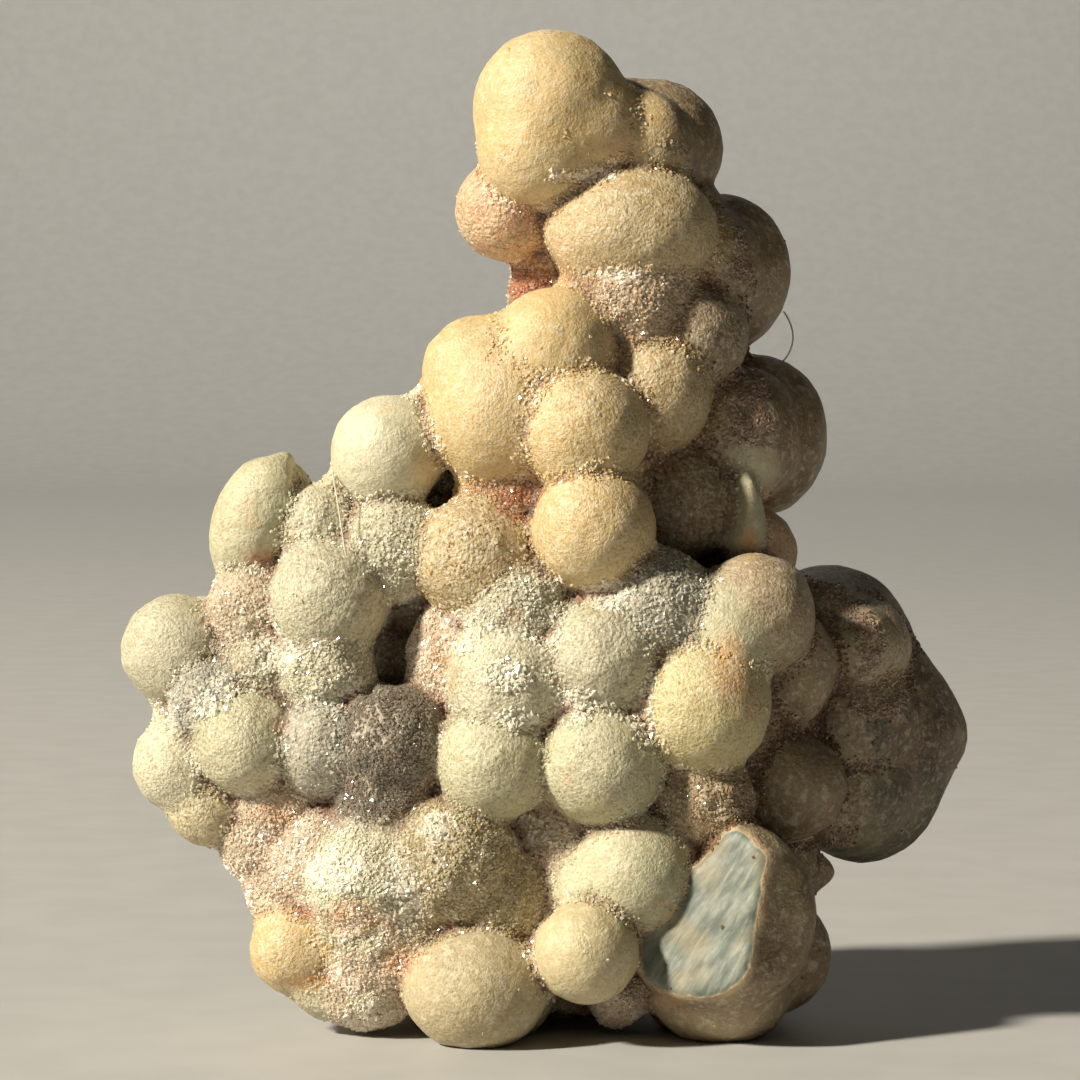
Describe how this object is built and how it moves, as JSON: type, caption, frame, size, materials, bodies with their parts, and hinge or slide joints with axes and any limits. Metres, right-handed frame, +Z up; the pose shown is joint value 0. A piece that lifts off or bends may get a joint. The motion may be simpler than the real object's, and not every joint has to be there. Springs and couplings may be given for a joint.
{
  "type": "botryoidal chalcedony specimen",
  "caption": "Upright cluster of fused round chalcedony lumps with drusy creases, a narrow top and one broken face low on the right.",
  "frame": {"origin": "on the resting plane, under the middle of the specimen's box", "axes": "+Z up, -Y towards the viewer of the front, +X to that viewer's right"},
  "size_m": [0.0504, 0.0272, 0.0584],
  "materials": {
    "chalcedony": "waxy cream and grey-green lumps, sugary pinkish druse in the creases"
  },
  "bodies": {
    "root": {"botryoidal_chalcedony": "chalcedony"}
  },
  "joints": []
}
